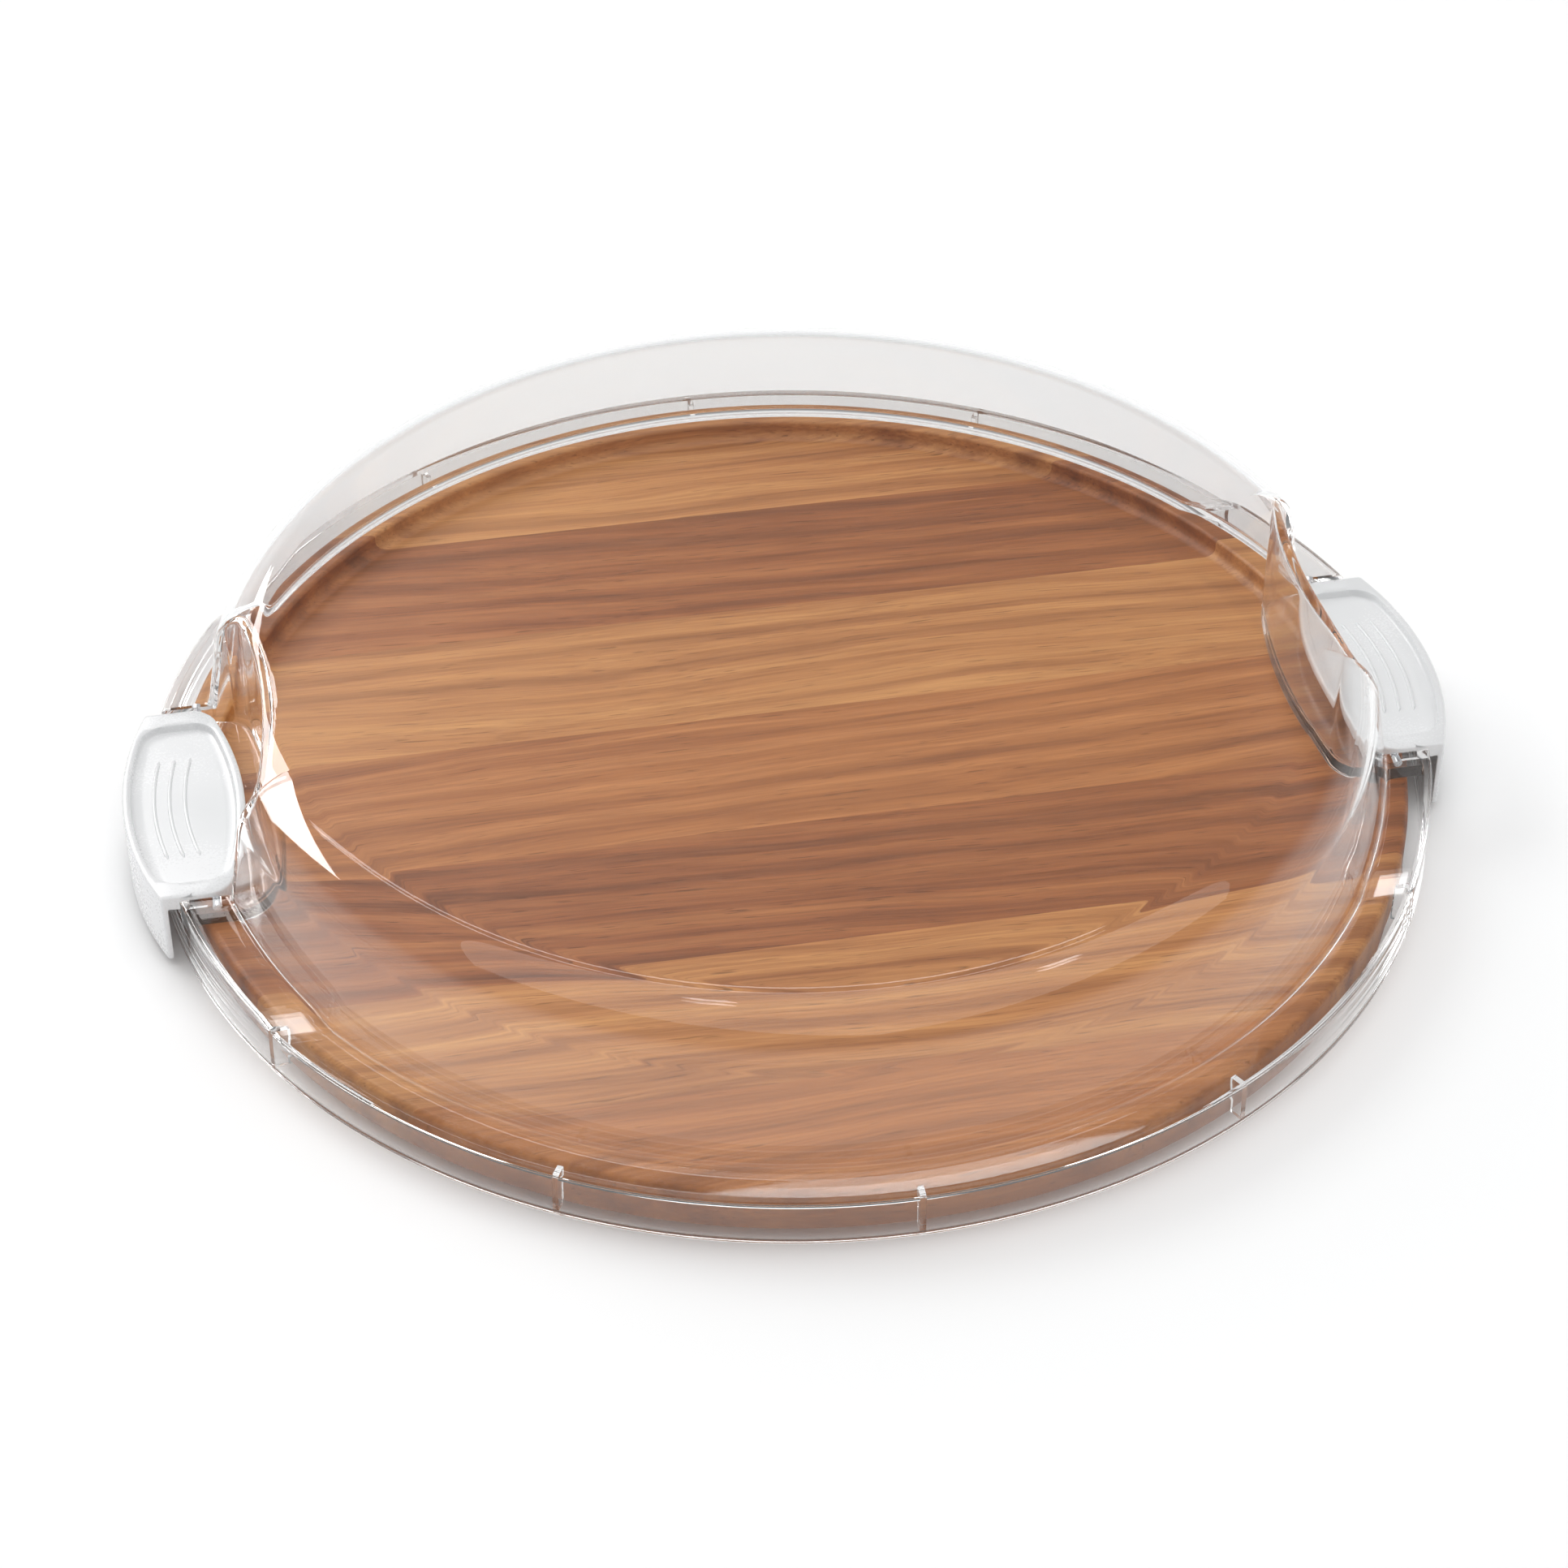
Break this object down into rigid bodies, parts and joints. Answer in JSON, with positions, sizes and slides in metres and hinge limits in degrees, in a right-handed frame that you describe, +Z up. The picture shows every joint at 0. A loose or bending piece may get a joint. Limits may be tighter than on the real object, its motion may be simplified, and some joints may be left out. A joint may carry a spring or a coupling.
{
  "type": "cheese dome",
  "caption": "Round wooden serving board with a low clear dome lid that lifts off and two rocking latches that hook under the board's edge.",
  "frame": {"origin": "centre of the board's foot, on the surface the board stands on", "axes": "+Z up, X along the line through the two latches, Y across it"},
  "size_m": [0.3716, 0.356, 0.0605],
  "materials": {
    "acacia_light": "oiled",
    "acacia_mid": "oiled",
    "acacia_dark": "oiled",
    "clear_plastic": "clear, glossy",
    "white_plastic": "glossy",
    "pin_steel": "plain"
  },
  "bodies": {
    "board": {"stave_1": "acacia_mid", "stave_2": "acacia_light", "stave_3": "acacia_dark", "stave_4": "acacia_mid", "stave_5": "acacia_light", "stave_6": "acacia_dark", "stave_7": "acacia_light"},
    "lid": {"dome_lid": "clear_plastic", "left_front_hinge_pin": "pin_steel", "left_rear_hinge_pin": "pin_steel", "right_front_hinge_pin": "pin_steel", "right_rear_hinge_pin": "pin_steel"},
    "latch_left": {"left_latch": "white_plastic"},
    "latch_right": {"right_latch": "white_plastic"}
  },
  "joints": [
    {"name": "lid_lift", "type": "slide", "parent": "board", "child": "lid", "axis": [0, 0, 1], "range_m": [0, 0.08]},
    {"name": "left_latch_hinge", "type": "hinge", "parent": "lid", "child": "latch_left", "pos_m": [-0.163, 0, 0.02135], "axis": [0, 1, 0], "range_deg": [-6, 18]},
    {"name": "right_latch_hinge", "type": "hinge", "parent": "lid", "child": "latch_right", "pos_m": [0.163, 0, 0.02135], "axis": [0, -1, 0], "range_deg": [-6, 18]}
  ]
}
